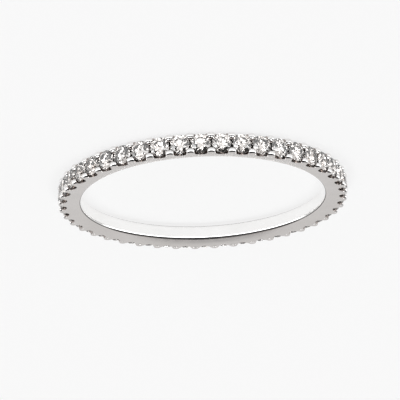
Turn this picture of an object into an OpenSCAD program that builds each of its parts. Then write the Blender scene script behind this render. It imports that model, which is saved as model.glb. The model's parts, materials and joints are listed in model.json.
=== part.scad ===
// Wedding band lying on its side: a full circle of round brilliants held by shared claws.
// Lengths are millimetres. The origin is on the table, under the middle of the finger hole,
// and +Z is the axis of the hole.

/* [Finger hole] */
// Diameter of the finger hole
bore_d = 17.0; // [15:0.2:20]
// Radius of the polished edge round the finger hole
edge_r = 0.06; // [0.03:0.01:0.1]

/* [Band] */
// Width of the band at the finger hole, along the finger
inner_w = 0.96; // [0.9:0.02:1.2]
// Width of the band at its shoulder, just under the girdles of the stones
outer_w = 1.44; // [1.4:0.02:1.6]
// Metal between the finger hole and the points of the stones
under_stone = 0.77; // [0.6:0.01:1.2]

/* [Stones] */
// Diameter of each round brilliant
stone_d = 1.35; // [1.3:0.01:1.4]
// Least gap between two girdles
stone_gap = 0.05; // [0.04:0.01:0.1]
// Width of the table as a share of the diameter
table_share = 0.57; // [0.53:0.01:0.62]
// Slope of the main facets of the crown
crown_angle = 34.5; // [32:0.5:36]
// Slope of the main facets of the pavilion
pavilion_angle = 41; // [40:0.2:42]
// Height of the girdle
girdle_h = 0.03; // [0.02:0.005:0.05]
// Clear space between a stone and its seat
seat_gap = 0.015; // [0.01:0.005:0.03]

/* [Claws and scallops] */
// Diameter of the round bead on each claw
bead_d = 0.50; // [0.44:0.01:0.52]
// Distance between the two beads of a pair, along the finger
bead_spread = 0.92; // [0.88:0.01:0.94]
// Width of the U-shaped scallop under each stone
scallop_w = 0.88; // [0.7:0.02:0.9]
// Depth of the scallop below the girdle of the stone
scallop_depth = 0.36; // [0.25:0.01:0.4]
// Width of the groove between the two claws of a pair
groove_w = 0.44; // [0.3:0.02:0.5]

/* [Hidden] */
$fn = 48;
facets = 8;
half = 180 / facets;
star_share = 0.55;
lower_half_share = 0.77;
point_clearance = 0.035;
shoulder_drop = 0.02;
shoulder_chamfer = 0.05;
cut_margin = 0.5;
chance_step = 137.5;

bore_r = bore_d / 2;
stone_r = stone_d / 2;
bead_r = bead_d / 2;
mid_z = outer_w / 2;

// A brilliant has the middle of its girdle at z = 0, its table up and its point down
table_r = stone_r * table_share;
table_z = girdle_h / 2 + (stone_r - table_r) * tan(crown_angle);
crown_mid_r = table_r * cos(half) * (1 - star_share) + stone_r * star_share;
crown_mid_z = girdle_h / 2 + (stone_r - crown_mid_r * cos(half)) * tan(crown_angle);
culet_z = -girdle_h / 2 - stone_r * tan(pavilion_angle);
pavilion_mid_r = stone_r * (1 - lower_half_share);
pavilion_mid_z = culet_z + pavilion_mid_r * cos(half) * tan(pavilion_angle);

// As many stones as the circle of their girdles takes
girdle_r = bore_r + under_stone - culet_z;
stone_count = floor(2 * PI * girdle_r / (stone_d + stone_gap));
pitch = 360 / stone_count;

// The sides of the band lean out from the finger hole to the shoulder
shoulder_r = girdle_r - shoulder_drop;
side_lean = atan((outer_w - inner_w) / 2 / (shoulder_r - shoulder_chamfer - bore_r));
scallop_bottom_r = girdle_r - scallop_depth;

function two_digits(i) = str(i < 10 ? "0" : "", i);
function stone_name(i) = str("stone_", two_digits(i));

// Turns what is modelled with +Z up so that it points away from the finger at stone i
module at_stone(i) {
    rotate([0, 0, (i - 1) * pitch])
        translate([girdle_r, 0, mid_z])
            rotate([0, 90, 0])
                children();
}

// Points on an arc, from one angle to another
function arc(centre, r, from, to, steps = 4) =
    [for (k = [0:steps]) let (a = from + (to - from) * k / steps) centre + r * [cos(a), sin(a)]];

// Upper half of the band's section: x is the distance from the axis, y the height above the middle
function half_section() =
    let (
        inner_y = inner_w / 2,
        outer_y = outer_w / 2,
        lip = arc([bore_r + edge_r, inner_y - edge_r], edge_r, 180, 90 + side_lean),
        shoulder = [
            [shoulder_r - shoulder_chamfer, outer_y],
            [shoulder_r, outer_y - shoulder_chamfer]
        ]
    )
    concat(lip, shoulder);

module section() {
    upper = half_section();
    lower = [for (k = [len(upper) - 1:-1:0]) [upper[k][0], -upper[k][1]]];
    difference() {
        polygon(concat(upper, lower));
        translate([scallop_bottom_r, -groove_w / 2])
            square([girdle_r, groove_w]);
    }
}

// Room for one stone: its outline turned round its axis, a little larger, and open above the crown
module seat() {
    reach = table_z + cut_margin;
    rotate_extrude()
        polygon([
            [0, culet_z - point_clearance],
            [stone_r + seat_gap, -girdle_h / 2 - seat_gap / 2],
            [stone_r + seat_gap, girdle_h / 2 + seat_gap / 2],
            [crown_mid_r + seat_gap, crown_mid_z + seat_gap],
            [crown_mid_r + seat_gap, reach],
            [0, reach]
        ]);
}

// The U-shaped cut under one stone, open at both sides of the band
module scallop() {
    scallop_r = scallop_w / 2;
    reach = outer_w + 2 * cut_margin;
    translate([0, 0, scallop_r - scallop_depth])
        rotate([0, 90, 0])
            cylinder(r = scallop_r, h = reach, center = true);
}

module bead_pair() {
    for (side = [-1, 1])
        translate([side * bead_spread / 2, 0, 0])
            sphere(r = bead_r);
}

module band() {
    color("gainsboro")
        difference() {
            union() {
                translate([0, 0, mid_z])
                    rotate([0, 0, pitch / 2])
                        rotate_extrude()
                            section();
                for (i = [1:stone_count])
                    at_stone(i + 0.5)
                        bead_pair();
            }
            for (i = [1:stone_count])
                at_stone(i) {
                    scallop();
                    seat();
                }
        }
}

// Corners of one level of the brilliant
function ring(count, r, z, turn = 0) =
    [for (k = [0:count - 1]) let (a = turn + 360 * k / count) [r * cos(a), r * sin(a), z]];

module brilliant() {
    points = concat(
        ring(facets, table_r, table_z),
        ring(facets, crown_mid_r, crown_mid_z, half),
        ring(2 * facets, stone_r, girdle_h / 2),
        ring(2 * facets, stone_r, -girdle_h / 2),
        ring(facets, pavilion_mid_r, pavilion_mid_z, half),
        [[0, 0, culet_z]]
    );
    crown_mid = facets;
    girdle_top = 2 * facets;
    girdle_low = 4 * facets;
    pavilion_mid = 6 * facets;
    culet = 7 * facets;
    function next(k) = (k + 1) % facets;
    function last(k) = (k + facets - 1) % facets;
    function round_next(k) = (k + 1) % (2 * facets);
    table = [[for (k = [facets - 1:-1:0]) k]];
    stars = [for (k = [0:facets - 1]) [k, next(k), crown_mid + k]];
    crown_mains = [for (k = [0:facets - 1])
        [k, crown_mid + k, girdle_top + 2 * k, crown_mid + last(k)]];
    upper_halves = [for (k = [0:facets - 1]) each [
        [crown_mid + k, girdle_top + 2 * k + 1, girdle_top + 2 * k],
        [crown_mid + k, girdle_top + 2 * next(k), girdle_top + 2 * k + 1]
    ]];
    girdle = [for (k = [0:2 * facets - 1])
        [girdle_top + k, girdle_top + round_next(k), girdle_low + round_next(k), girdle_low + k]];
    lower_halves = [for (k = [0:facets - 1]) each [
        [pavilion_mid + k, girdle_low + 2 * k, girdle_low + 2 * k + 1],
        [pavilion_mid + k, girdle_low + 2 * k + 1, girdle_low + 2 * next(k)]
    ]];
    pavilion_mains = [for (k = [0:facets - 1])
        [culet, pavilion_mid + last(k), girdle_low + 2 * k, pavilion_mid + k]];
    polyhedron(points, concat(table, stars, crown_mains, upper_halves, girdle, lower_halves,
                              pavilion_mains));
}

// The setter drops each stone in at a chance turn
module stone(i) {
    color("aliceblue")
        at_stone(i)
            rotate([0, 0, chance_step * i])
                brilliant();
}

band();
for (i = [1:stone_count])
    stone(i);
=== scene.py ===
# Looks of a full eternity wedding band that lies on its side, stones all the way round.
import json
import math

import bmesh
import bpy
from mathutils import Matrix, Vector


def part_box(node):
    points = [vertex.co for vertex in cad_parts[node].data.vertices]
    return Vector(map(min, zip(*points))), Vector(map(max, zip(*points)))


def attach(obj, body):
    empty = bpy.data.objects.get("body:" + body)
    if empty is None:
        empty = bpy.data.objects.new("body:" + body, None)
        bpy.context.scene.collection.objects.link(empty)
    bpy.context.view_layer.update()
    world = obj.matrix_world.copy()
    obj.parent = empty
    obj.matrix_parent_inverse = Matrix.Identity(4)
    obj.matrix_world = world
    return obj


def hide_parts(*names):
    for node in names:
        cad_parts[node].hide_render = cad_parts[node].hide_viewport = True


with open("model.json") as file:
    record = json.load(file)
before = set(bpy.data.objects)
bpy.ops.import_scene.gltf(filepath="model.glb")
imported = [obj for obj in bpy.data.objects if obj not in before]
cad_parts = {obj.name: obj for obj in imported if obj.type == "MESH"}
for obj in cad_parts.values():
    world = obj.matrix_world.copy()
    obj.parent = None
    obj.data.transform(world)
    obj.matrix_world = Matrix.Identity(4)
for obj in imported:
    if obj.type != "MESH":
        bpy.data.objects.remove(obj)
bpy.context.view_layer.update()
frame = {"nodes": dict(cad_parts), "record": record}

# The band is modelled in millimetres, which suits Blender's merging distances, and is brought to
# metres when it is whole
MM = 0.001
AXIS = (0, 0, 1)
CENTRE = (0, 0, 0)

# Sizes that the frame gives, in millimetres
band_low, band_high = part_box("band")
STONES = sorted(name for name in frame["nodes"] if name.startswith("stone_"))
PITCH = math.tau / len(STONES)
BORE_R = frame["record"]["mounts"][0]["dims"]["r_mm"]
OUTER_W = (band_high.z - band_low.z) / MM
MID_Z = OUTER_W / 2
CULET_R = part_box("stone_01")[0].x / MM

# The brilliants, and the room that each has in its seat
STONE_R = 0.675
GIRDLE_H = 0.03
PAVILION_SLOPE = math.radians(41)
CROWN_MID_R = 0.531
CROWN_MID_H = 0.142
SEAT_GAP = 0.015
POINT_CLEARANCE = 0.035
SEAT_POINT_R = 0.004
CULET_DEPTH = GIRDLE_H / 2 + STONE_R * math.tan(PAVILION_SLOPE)
GIRDLE_R = CULET_R + CULET_DEPTH

# The shank, whose shoulders lie a little inside the girdles and the band's sides. The bore is eased
# by an arc on each side, of this radius and turn, and the corners are rounded by these sizes
INNER_W = 0.96
SHOULDER_R = GIRDLE_R - 0.02
SHOULDER_W = OUTER_W - 0.002
COMFORT_R = 0.5
COMFORT_TURN = math.radians(32)
LIP_R = BORE_R + COMFORT_R * (1 - math.cos(COMFORT_TURN))
LIP_ROUND = 0.03
SHOULDER_ROUND = 0.07
EDGE_ROUND = 0.016

# Claw tips, shorter toward the stones, and the width to which they and the shoulders are cut flush
TIP_H = 0.25
TIP_ALONG = 0.31
TIP_INWARD = 0.19
TIP_OUTWARD = 0.31
TIP_SPREAD = 1.03
FLUSH_W = OUTER_W - 0.008

# Scallops and the middle groove
SCALLOP_R = 0.44
SCALLOP_DEPTH = 0.36
GROOVE_W = 0.56
GROOVE_R = GIRDLE_R - SCALLOP_DEPTH

# Just under the scallops, where the flank of the shank is whole all the way round: it is straight
# from here outward, at this tilt, and falls off more and more toward the bore
FLANK_R = GROOVE_R - 0.05
FLANK_TILT = math.radians(7.5)

# Steps of the curves
COMFORT_STEPS = 6
FLANK_STEPS = 5
CORNER_STEPS = 3
EDGE_STEPS = 2
SHANK_STEPS = 9
ROUND_SIDES = 48
TIP_SIDES = 24
TIP_RINGS = 14

# The stretch of shank that is made first, from its start to its end in pitches
SHANK_START = 0.3
SHANK_LENGTH = 1.1

# The steepness of a face is how much of its normal is along Z: outer walls, which get the recess's
# painted shade, have less than the first of these, and the rounded lips of the bore, which get a
# painted dark reflection, less than the second
WALL_RISE = 0.6
LIP_RISE = 0.96

# Corners closer than this are one corner, and the wider limits clear the slivers that cuts leave
MERGE = 1e-4
CUT_MERGE = 0.004
CUT_SLIVER = 0.002
BEVEL_MERGE = 0.0015

# A point from which no two corners of the half cell are equally far
SORT_POINT = (3, -5, 8)

# Edges sharper than the first of these are bevelled, and than the second are sharp in the shading
BEVEL_ANGLE = math.radians(28)
SMOOTH_ANGLE = math.radians(40)
NORMAL_WEIGHT = 60

# Material slots of the band, in the order of the finishes; the recess and shade slots hold painted
# shade
POLISH, SATIN, CLAW, RECESS_PAINTED_SHADE, PAINTED_SHADE = range(5)

# Finishes: dark and light colour, least and most roughness, cells of grain in a metre, and the
# grain's height in metres. The recess colour is painted shade under the stones and on the outer
# walls, where the metal is also rougher than the polish; the shade colour is painted shade in the
# middle groove and a painted dark reflection on the rounded lips of the bore
GOLD = [
    ("white_gold_polish", (0.93, 0.925, 0.915), (0.975, 0.97, 0.965), 0.03, 0.07, 5200, 6e-7),
    ("white_gold_satin", (0.8, 0.765, 0.74), (0.86, 0.825, 0.805), 0.16, 0.24, 7000, 1e-6),
    ("white_gold_claw", (0.84, 0.83, 0.82), (0.9, 0.89, 0.885), 0.04, 0.1, 4000, 8e-7),
    ("white_gold_recess_painted_shade", (0.35, 0.305, 0.285), (0.48, 0.43, 0.41), 0.14, 0.26, 5200, 2e-6),
    ("white_gold_painted_shade", (0.07, 0.065, 0.06), (0.11, 0.1, 0.095), 0.06, 0.14, 5200, 6e-7),
]
GRAIN_DETAIL = 2
GRAIN_STRENGTH = 0.6
DIAMOND_COLOURS = (1.0, 0.935, 0.89), (1.0, 0.965, 0.935)
DIAMOND_ROUGHNESS = 0.0, 0.012
DIAMOND_IOR = 2.417

# Noise patterns: cells in a metre and detail, and the part of the pattern's range that is used
GOLD_CLOUDS = 420, 3
GOLD_WEAR = 2600, 4
DIAMOND_CLOUDS = 900, 2
DIAMOND_POLISH = 5200, 3
NOISE_LOW, NOISE_HIGH = 0.3, 0.7

# The camera: degrees above the floor and of lean, the middle of the band as it sees it in
# millimetres, its sensor and lens in millimetres, and the range that it sees in metres
CAMERA_RISE = math.radians(19.6)
CAMERA_LEAN = math.radians(2.52)
CAMERA_AIM = (0.185, 0.505, -231.4)
CAMERA_SENSOR = 36
CAMERA_LENS = 298.2
CAMERA_RANGE = 0.005, 10

# The light table
FLOOR_SIZE = 1.2
FLOOR_ROUGHNESS = 0.9
FLOOR_GREY = 0.15
FLOOR_GLOW = 0.78

# Round patches of light: degrees from the camera's side, degrees above the floor, the degrees off
# its middle between which it fades, and the level inside and outside it. The dome is behind the
# ring, with a dimmer patch in it. The low strip ends about 10 degrees above the floor, and its
# reach is the front and the sides
DOME = (180, 30, 68, 76, 0.66, 0.05)
DIM_PATCH = (181.4, 50, 6, 12, 0.6, 1)
LOW_STRIP = (0, 90, 78, 82, 0, 3.4)
STRIP_REACH = (0, 0, 97, 113, 1, 0)

# Soft lamps: degrees from the camera's side, degrees above the floor, half width and level
LAMPS = [
    (-40, 66, 5, 5),
    (40, 66, 5, 5),
    (-85, 64, 8, 5),
    (85, 64, 8, 5),
    (-125, 60, 8, 4),
    (125, 60, 8, 4),
]
LAMP_FADE = 4


# Hand tools

def start():
    """Leaves edit mode with nothing selected."""
    if bpy.context.object and bpy.context.object.mode != "OBJECT":
        bpy.ops.object.mode_set(mode="OBJECT")
    bpy.ops.object.select_all(action="DESELECT")


def take(piece):
    """Makes the piece the only selected and active one."""
    start()
    piece.select_set(True)
    bpy.context.view_layer.objects.active = piece


def edit(piece):
    """Opens the piece in edit mode with everything selected."""
    take(piece)
    bpy.ops.object.mode_set(mode="EDIT")
    bpy.ops.mesh.select_all(action="SELECT")


def pick(piece, kind, test):
    """Selects the vertices, edges or faces of the piece in edit mode that pass the test."""
    bpy.ops.mesh.select_mode(type=kind)
    bpy.ops.mesh.select_all(action="DESELECT")
    mesh = bmesh.from_edit_mesh(piece.data)
    for part in {"VERT": mesh.verts, "EDGE": mesh.edges, "FACE": mesh.faces}[kind]:
        if test(part):
            part.select_set(True)
    mesh.select_flush_mode()
    bmesh.update_edit_mesh(piece.data)


def named(name):
    """Names the new primitive and puts its place in its mesh."""
    piece = bpy.context.object
    piece.name = piece.data.name = name
    bpy.ops.object.transform_apply()
    return piece


def finish_with(piece, kind, **settings):
    """Adds a modifier to the piece and applies it."""
    take(piece)
    modifier = piece.modifiers.new(kind.title(), kind)
    for key, value in settings.items():
        setattr(modifier, key, value)
    bpy.ops.object.modifier_apply(modifier=modifier.name)


def combine(piece, tool, how):
    """Joins the tool to the piece or cuts it out of it."""
    finish_with(piece, "BOOLEAN", operation=how, object=tool, solver="EXACT")
    bpy.data.objects.remove(tool)


def put_in_order():
    """Sorts the mesh in edit mode, as cuts leave another order each run and merging goes by it."""
    cursor = bpy.context.scene.cursor
    cursor.location = SORT_POINT
    bpy.ops.mesh.sort_elements(type="CURSOR_DISTANCE", elements={"VERT", "EDGE", "FACE"})
    cursor.location = CENTRE


def paint(piece, slot):
    """Gives the piece the band's material slots and puts all its faces in one of them."""
    for finish in FINISHES_AND_PAINTED_SHADE:
        piece.data.materials.append(finish)
    for face in piece.data.polygons:
        face.material_index = slot


# Materials

def new_material(name):
    material = bpy.data.materials.new(name)
    material.use_nodes = True
    return material, material.node_tree.nodes, material.node_tree.links


def noise(nodes, links, coordinates, scale, detail):
    """A noise pattern in object space; scale counts its cells in a metre."""
    pattern = nodes.new("ShaderNodeTexNoise")
    pattern.inputs["Scale"].default_value = scale
    pattern.inputs["Detail"].default_value = detail
    links.new(coordinates, pattern.inputs["Vector"])
    return pattern.outputs["Fac"]


def spread(nodes, links, value, low, high):
    """Maps the middle of a noise pattern to the range from low to high."""
    ranged = nodes.new("ShaderNodeMapRange")
    for socket, number in (("From Min", NOISE_LOW), ("From Max", NOISE_HIGH),
                           ("To Min", low), ("To Max", high)):
        ranged.inputs[socket].default_value = number
    links.new(value, ranged.inputs["Value"])
    return ranged.outputs["Result"]


def tint(nodes, links, value, dark, light):
    """A colour between dark and light by a value from 0 to 1."""
    mix = nodes.new("ShaderNodeMix")
    mix.data_type = "RGBA"
    mix.inputs["A"].default_value = (*dark, 1)
    mix.inputs["B"].default_value = (*light, 1)
    links.new(value, mix.inputs["Factor"])
    return mix.outputs["Result"]


def white_gold(name, dark, light, smooth, rough, grain, grain_height):
    """Rhodium-plated gold: faint clouds in its colour, and fine wear in its gloss and surface."""
    material, nodes, links = new_material(name)
    shader = nodes["Principled BSDF"]
    shader.inputs["Metallic"].default_value = 1
    coordinates = nodes.new("ShaderNodeTexCoord").outputs["Object"]
    clouds = noise(nodes, links, coordinates, *GOLD_CLOUDS)
    links.new(tint(nodes, links, spread(nodes, links, clouds, 0, 1), dark, light),
              shader.inputs["Base Color"])
    wear = noise(nodes, links, coordinates, *GOLD_WEAR)
    links.new(spread(nodes, links, wear, smooth, rough), shader.inputs["Roughness"])
    marks = noise(nodes, links, coordinates, grain, GRAIN_DETAIL)
    bump = nodes.new("ShaderNodeBump")
    bump.inputs["Strength"].default_value = GRAIN_STRENGTH
    bump.inputs["Distance"].default_value = grain_height
    links.new(marks, bump.inputs["Height"])
    links.new(bump.outputs["Normal"], shader.inputs["Normal"])
    return material


def diamond():
    """Clear stone with faint clouds in its colour and in its polish."""
    material, nodes, links = new_material("diamond")
    shader = nodes["Principled BSDF"]
    shader.inputs["Transmission Weight"].default_value = 1
    shader.inputs["IOR"].default_value = DIAMOND_IOR
    coordinates = nodes.new("ShaderNodeTexCoord").outputs["Object"]
    clouds = noise(nodes, links, coordinates, *DIAMOND_CLOUDS)
    links.new(tint(nodes, links, spread(nodes, links, clouds, 0, 1), *DIAMOND_COLOURS),
              shader.inputs["Base Color"])
    polish = noise(nodes, links, coordinates, *DIAMOND_POLISH)
    links.new(spread(nodes, links, polish, *DIAMOND_ROUGHNESS), shader.inputs["Roughness"])
    return material


FINISHES_AND_PAINTED_SHADE = [white_gold(*finish) for finish in GOLD]


# The band

def section_rows():
    """Radius and width of the band, from its eased bore out along its soft, flared flanks."""
    shoulder = SHOULDER_R - SHOULDER_ROUND
    slope = math.tan(FLANK_TILT)
    fall = ((SHOULDER_W - INNER_W) / 2 - slope * (shoulder - BORE_R)) / (FLANK_R - BORE_R) ** 2

    def flank_w(r):
        return SHOULDER_W - 2 * (slope * (shoulder - r) + fall * max(0, FLANK_R - r) ** 2)

    rows = []
    for step in range(COMFORT_STEPS + 1):
        turn = COMFORT_TURN * step / COMFORT_STEPS
        drop = COMFORT_R * (math.sin(COMFORT_TURN) - math.sin(turn))
        rows.append((BORE_R + COMFORT_R * (1 - math.cos(turn)), flank_w(LIP_R) - 2 * drop))
    for step in range(1, FLANK_STEPS + 1):
        r = LIP_R + (FLANK_R - LIP_R) * step / FLANK_STEPS
        rows.append((r, flank_w(r)))
    return rows + [(SHOULDER_R, flank_w(SHOULDER_R))]


def section():
    """The section of the band, with its soft lips and shoulders and its groove, at angle 0."""
    (r, width), *rest = section_rows()
    start()
    bpy.ops.mesh.primitive_plane_add(size=width, location=(r - width / 2, 0, MID_Z),
                                     rotation=(math.pi / 2, 0, 0))
    piece = named("band_dressed")
    edit(piece)
    pick(piece, "VERT", lambda v: v.co.x < r - MERGE)
    bpy.ops.mesh.delete(type="VERT")
    bpy.ops.mesh.select_all(action="SELECT")
    for next_r, next_width in rest:
        bpy.ops.mesh.extrude_region_move(TRANSFORM_OT_translate={"value": (next_r - r, 0, 0)})
        bpy.ops.transform.resize(value=(1, 1, next_width / width), center_override=(next_r, 0, MID_Z))
        r, width = next_r, next_width
    close_up(piece)
    for corner, size in ((LIP_R, LIP_ROUND), (SHOULDER_R, SHOULDER_ROUND)):
        pick(piece, "VERT", lambda v: abs(v.co.x - corner) < MERGE)
        bpy.ops.mesh.bevel(offset=size, segments=CORNER_STEPS, affect="VERTICES")
    for z in (MID_Z - GROOVE_W / 2, MID_Z + GROOVE_W / 2):
        bpy.ops.mesh.select_all(action="SELECT")
        bpy.ops.mesh.bisect(plane_co=(0, 0, z), plane_no=(0, 0, 1), threshold=MERGE)
    pick(piece, "FACE", lambda f: abs(f.calc_center_median().z - MID_Z) < GROOVE_W / 2)
    bpy.ops.mesh.bisect(plane_co=(GROOVE_R, 0, 0), plane_no=(1, 0, 0), threshold=MERGE)
    pick(piece, "FACE", lambda f: f.calc_center_median().x > GROOVE_R
         and abs(f.calc_center_median().z - MID_Z) < GROOVE_W / 2)
    bpy.ops.mesh.delete(type="FACE")
    close_up(piece)
    return piece


def close_up(piece):
    """Makes one face of the section, with all the corners of its outline."""
    pick(piece, "EDGE", lambda e: len(e.link_faces) == 2)
    bpy.ops.mesh.dissolve_edges(use_verts=False)


def shank():
    """A stretch of the shank a little longer than half a pitch, with closed ends."""
    piece = section()
    bpy.ops.mesh.select_all(action="SELECT")
    bpy.ops.transform.rotate(value=PITCH * SHANK_START, orient_axis="Z", center_override=CENTRE)
    bpy.ops.mesh.spin(steps=SHANK_STEPS, angle=-PITCH * SHANK_LENGTH, center=CENTRE, axis=AXIS)
    bpy.ops.mesh.select_all(action="SELECT")
    bpy.ops.mesh.remove_doubles(threshold=MERGE)
    pick(piece, "EDGE", lambda e: len(e.link_faces) == 1)
    bpy.ops.mesh.edge_face_add()
    bpy.ops.mesh.select_all(action="SELECT")
    bpy.ops.mesh.normals_make_consistent(inside=False)
    start()
    paint(piece, SATIN)
    for face in piece.data.polygons:
        reach = math.hypot(face.center.x, face.center.y)
        rise = abs(face.normal.z)
        # The rounded lips of the bore take the near-black shade colour: a painted dark reflection
        if reach < LIP_R + LIP_ROUND and math.sin(COMFORT_TURN) < rise < LIP_RISE:
            face.material_index = PAINTED_SHADE
        elif reach < LIP_R:
            face.material_index = POLISH
        # The middle groove between the stones takes it too, as painted shade
        elif reach > FLANK_R and abs(face.center.z - MID_Z) < GROOVE_W / 2 + MERGE:
            face.material_index = PAINTED_SHADE
        # Outer walls take the recess colour, painted shade under the stones
        elif reach > FLANK_R and rise < WALL_RISE:
            face.material_index = RECESS_PAINTED_SHADE
    return piece


def turned(name, profile):
    """A solid turned about Z from rows of radius and height."""
    (r, h), *rest = profile
    start()
    bpy.ops.mesh.primitive_circle_add(vertices=ROUND_SIDES, radius=r, fill_type="NGON",
                                      location=(0, 0, h))
    piece = named(name)
    edit(piece)
    for next_r, next_h in rest:
        bpy.ops.mesh.extrude_region_move(TRANSFORM_OT_translate={"value": (0, 0, next_h - h)})
        bpy.ops.transform.resize(value=(next_r / r, next_r / r, 1), center_override=(0, 0, next_h))
        r, h = next_r, next_h
    bpy.ops.mesh.select_all(action="SELECT")
    bpy.ops.mesh.normals_make_consistent(inside=False)
    return piece


def claw_tip(side):
    """The rounded tip of a claw, half a pitch from the stone at angle 0."""
    start()
    place = (GIRDLE_R, 0, MID_Z + side * TIP_SPREAD / 2)
    bpy.ops.mesh.primitive_uv_sphere_add(segments=TIP_SIDES, ring_count=TIP_RINGS, radius=1,
                                         location=place)
    piece = named("claw_tip")
    edit(piece)
    bpy.ops.transform.resize(value=(TIP_H, TIP_ALONG, TIP_INWARD), center_override=place)
    pick(piece, "VERT", lambda v: (v.co.z - place[2]) * side > 0)
    bpy.ops.transform.resize(value=(1, 1, TIP_OUTWARD / TIP_INWARD), center_override=place)
    bpy.ops.mesh.select_all(action="SELECT")
    bpy.ops.transform.rotate(value=-PITCH / 2, orient_axis="Z", center_override=CENTRE)
    start()
    paint(piece, CLAW)
    return piece


def scallop():
    """The round cutter that leaves a U under the stone at angle 0."""
    start()
    place = (GROOVE_R + SCALLOP_R, 0, MID_Z)
    bpy.ops.mesh.primitive_cylinder_add(vertices=ROUND_SIDES, radius=SCALLOP_R, depth=OUTER_W * 2,
                                        location=place)
    piece = named("scallop")
    # Its faces pass the recess colour, painted shade under the stone, to the U that it cuts
    paint(piece, RECESS_PAINTED_SHADE)
    return piece


def seat():
    """Room for the stone at angle 0: its turned outline, a little larger, open above the crown."""
    piece = turned("seat", [
        (SEAT_POINT_R, -CULET_DEPTH - POINT_CLEARANCE),
        (STONE_R + SEAT_GAP, -(GIRDLE_H + SEAT_GAP) / 2),
        (STONE_R + SEAT_GAP, (GIRDLE_H + SEAT_GAP) / 2),
        (CROWN_MID_R + SEAT_GAP, CROWN_MID_H + SEAT_GAP),
        (CROWN_MID_R + SEAT_GAP, STONE_R),
    ])
    bpy.ops.transform.rotate(value=-math.pi / 2, orient_axis="Y", center_override=CENTRE)
    bpy.ops.transform.translate(value=(GIRDLE_R, 0, MID_Z))
    start()
    paint(piece, CLAW)
    return piece


def half_cell():
    """The band from the middle of a stone to the middle of the next pair of claws."""
    piece = shank()
    for side in (-1, 1):
        combine(piece, claw_tip(side), "UNION")
    combine(piece, scallop(), "DIFFERENCE")
    combine(piece, seat(), "DIFFERENCE")
    edit(piece)
    put_in_order()
    bpy.ops.mesh.remove_doubles(threshold=CUT_MERGE)
    bpy.ops.mesh.dissolve_degenerate(threshold=CUT_SLIVER)
    finish_with(piece, "BEVEL", width=EDGE_ROUND, segments=EDGE_STEPS, limit_method="ANGLE",
                angle_limit=BEVEL_ANGLE)
    edit(piece)
    bpy.ops.mesh.remove_doubles(threshold=BEVEL_MERGE)
    for side in (-1, 1):
        bpy.ops.mesh.select_all(action="SELECT")
        flush = (0, 0, MID_Z + side * FLUSH_W / 2)
        bpy.ops.mesh.bisect(plane_co=flush, plane_no=(0, 0, side), clear_outer=True, use_fill=True)
    pick(piece, "FACE", lambda f: abs(f.calc_center_median().z - MID_Z) > FLUSH_W / 2 - MERGE)
    piece.active_material_index = SATIN
    bpy.ops.object.material_slot_assign()
    for facing in ((0, -1, 0), (-math.sin(PITCH / 2), math.cos(PITCH / 2), 0)):
        bpy.ops.mesh.select_all(action="SELECT")
        bpy.ops.mesh.bisect(plane_co=CENTRE, plane_no=facing, clear_outer=True, threshold=MERGE)
    return piece


def band():
    """The whole band: the half cell mirrored, and copied round once for each stone."""
    piece = half_cell()
    finish_with(piece, "MIRROR", use_axis=(False, True, False), merge_threshold=MERGE)
    edit(piece)
    more = len(STONES) - 1
    bpy.ops.mesh.spin(steps=more, angle=PITCH * more, dupli=True, center=CENTRE, axis=AXIS)
    bpy.ops.mesh.select_all(action="SELECT")
    bpy.ops.mesh.remove_doubles(threshold=2 * MERGE)
    bpy.ops.mesh.normals_make_consistent(inside=False)
    bpy.ops.transform.resize(value=(MM, MM, MM), center_override=CENTRE)
    take(piece)
    bpy.ops.object.shade_smooth_by_angle(angle=SMOOTH_ANGLE)
    finish_with(piece, "WEIGHTED_NORMAL", weight=NORMAL_WEIGHT, keep_sharp=True)
    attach(piece, "root")
    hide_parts("band")


def stones():
    """The frame's own stones, in diamond."""
    finish = diamond()
    for name in STONES:
        materials = frame["nodes"][name].data.materials
        materials.clear()
        materials.append(finish)


# The set

def camera():
    """The photograph's viewpoint: the stones of the near side are at the top of the picture."""
    right = Vector((1, 0, 0))
    up = Vector((0, math.sin(CAMERA_RISE), -math.cos(CAMERA_RISE)))
    upright = Matrix((right, up, right.cross(up))).transposed()
    facing = upright @ Matrix.Rotation(-CAMERA_LEAN, 3, "Z")
    place = Vector((0, 0, MID_Z * MM)) - facing @ (Vector(CAMERA_AIM) * MM)
    lens = bpy.data.cameras.new("camera")
    lens.sensor_width = CAMERA_SENSOR
    lens.lens = CAMERA_LENS
    lens.clip_start, lens.clip_end = CAMERA_RANGE
    holder = bpy.data.objects.new("camera", lens)
    bpy.context.scene.collection.objects.link(holder)
    holder.matrix_world = Matrix.Translation(place) @ facing.to_4x4()
    bpy.context.scene.camera = holder


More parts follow.
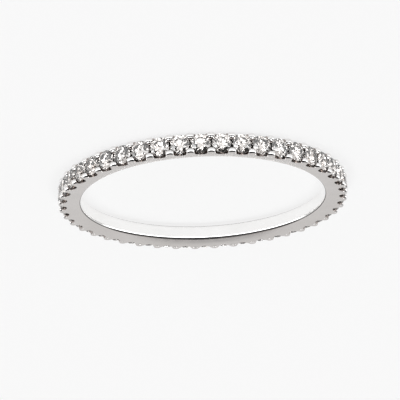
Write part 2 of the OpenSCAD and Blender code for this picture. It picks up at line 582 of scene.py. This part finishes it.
def floor():
    """A light table, so that the ring has no dark shadow round it."""
    start()
    bpy.ops.mesh.primitive_plane_add(size=FLOOR_SIZE)
    piece = named("floor")
    material, nodes, _ = new_material("floor")
    shader = nodes["Principled BSDF"]
    for socket, number in (("Roughness", FLOOR_ROUGHNESS), ("Specular IOR Level", 0),
                           ("Emission Strength", FLOOR_GLOW)):
        shader.inputs[socket].default_value = number
    shader.inputs["Base Color"].default_value = (FLOOR_GREY, FLOOR_GREY, FLOOR_GREY, 1)
    shader.inputs["Emission Color"].default_value = (1, 1, 1, 1)
    piece.data.materials.append(material)


def direction(azimuth, elevation):
    """A direction by degrees from +Y toward +X and above the floor."""
    return Matrix.Rotation(math.radians(-azimuth), 3, "Z") @ Vector(
        (0, math.cos(math.radians(elevation)), math.sin(math.radians(elevation))))


def surroundings():
    """A pale dome behind the ring, and a dark room with a low strip of light and lamps round it."""
    world = bpy.data.worlds.new("studio")
    bpy.context.scene.world = world
    world.use_nodes = True
    nodes, links = world.node_tree.nodes, world.node_tree.links
    ray = nodes.new("ShaderNodeTexCoord").outputs["Generated"]

    def disc(azimuth, elevation, near, far, inside, outside):
        """A round patch of light, whose edge runs from near to far degrees off its middle."""
        dot = nodes.new("ShaderNodeVectorMath")
        dot.operation = "DOT_PRODUCT"
        dot.inputs[1].default_value = direction(azimuth, elevation)
        links.new(ray, dot.inputs[0])
        patch = nodes.new("ShaderNodeMapRange")
        patch.interpolation_type = "SMOOTHSTEP"
        for socket, number in (("From Min", math.cos(math.radians(far))),
                               ("From Max", math.cos(math.radians(near))),
                               ("To Min", outside), ("To Max", inside)):
            patch.inputs[socket].default_value = number
        links.new(dot.outputs["Value"], patch.inputs["Value"])
        return patch.outputs["Result"]

    def joined(operation, one, other):
        """The sum or product of two levels."""
        math_node = nodes.new("ShaderNodeMath")
        math_node.operation = operation
        links.new(one, math_node.inputs[0])
        links.new(other, math_node.inputs[1])
        return math_node.outputs["Value"]

    light = joined("MULTIPLY", disc(*DOME), disc(*DIM_PATCH))
    strip = joined("MULTIPLY", disc(*LOW_STRIP), disc(*STRIP_REACH))
    light = joined("ADD", light, strip)
    for azimuth, elevation, radius, level in LAMPS:
        lamp = disc(azimuth, elevation, radius, radius + LAMP_FADE, level, 0)
        light = joined("ADD", light, lamp)
    nodes["Background"].inputs["Color"].default_value = (1, 1, 1, 1)
    links.new(light, nodes["Background"].inputs["Strength"])


camera()
stones()
band()
floor()
surroundings()
bpy.context.scene.view_settings.view_transform = "Standard"
